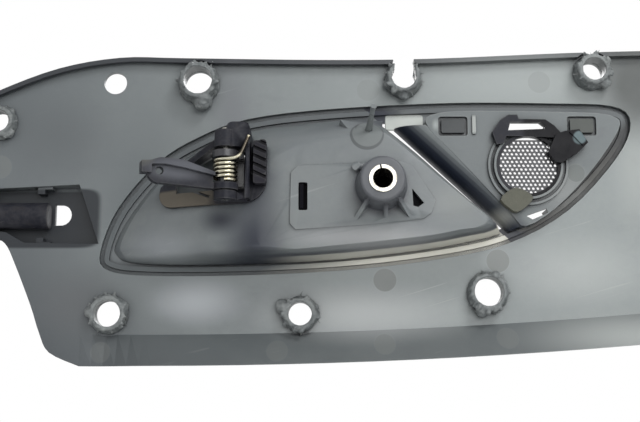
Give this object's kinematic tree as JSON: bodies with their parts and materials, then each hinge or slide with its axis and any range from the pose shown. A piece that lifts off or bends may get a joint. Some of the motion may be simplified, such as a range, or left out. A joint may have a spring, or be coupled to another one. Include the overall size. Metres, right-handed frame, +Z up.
{
  "type": "car interior door handle",
  "caption": "Inside door handle in its trim panel: sprung pull lever over a finger cup, crank arm, screw boss, tweeter grille and melted fixing stakes.",
  "frame": {"origin": "on the axis of the fixing screw, at the end face of its boss on the door side", "axes": "+X along the panel to the right as seen from the door side, +Y from the door into the cabin, +Z up as fitted in the car"},
  "size_m": [0.302, 0.0526, 0.1356],
  "materials": {
    "panel_plastic": "moulded, satin, dusty",
    "bezel_plastic": "moulded, fine grain",
    "cup_plastic": "moulded, smooth satin",
    "lever_paint": "silver-grey paint on plastic",
    "hinge_plastic": "glass-filled, black",
    "pin_steel": "drawn",
    "spring_steel": "zinc plated, yellowed",
    "buffer_rubber": "matt black",
    "sleeve_steel": "bright rolled sheet",
    "cover_plastic": "moulded, fine grain",
    "mesh_metal": "black paint on punched sheet",
    "foam": "felted, grey-beige",
    "melted_plastic": "melted and torn, dark grey"
  },
  "bodies": {
    "carrier": {"trim_panel": "panel_plastic", "bezel_frame": "bezel_plastic", "handle_cup": "cup_plastic", "hinge_bracket": "hinge_plastic", "hinge_pin": "pin_steel", "return_spring": "spring_steel", "stop_buffer": "buffer_rubber", "screw_sleeve": "sleeve_steel", "screw_cover": "cover_plastic", "tweeter_mesh": "mesh_metal", "mesh_retainer": "hinge_plastic", "foam_pad": "foam", "end_spigot": "hinge_plastic", "stake_top_left": "melted_plastic", "stake_top_mid": "melted_plastic", "stake_top_right": "melted_plastic", "stake_low_left": "melted_plastic", "stake_low_mid": "melted_plastic", "stake_low_right": "melted_plastic", "stake_end": "melted_plastic"},
    "lever": {"pull_lever": "lever_paint", "crank_arm": "hinge_plastic"}
  },
  "joints": [
    {"name": "lever_hinge", "type": "hinge", "parent": "carrier", "child": "lever", "pos_m": [-0.0627, 0.01, 0.005], "axis": [0, 0, 1], "range_deg": [0, 32], "stiffness_Nm_per_rad": 0.05, "springref_deg": -20.05}
  ]
}
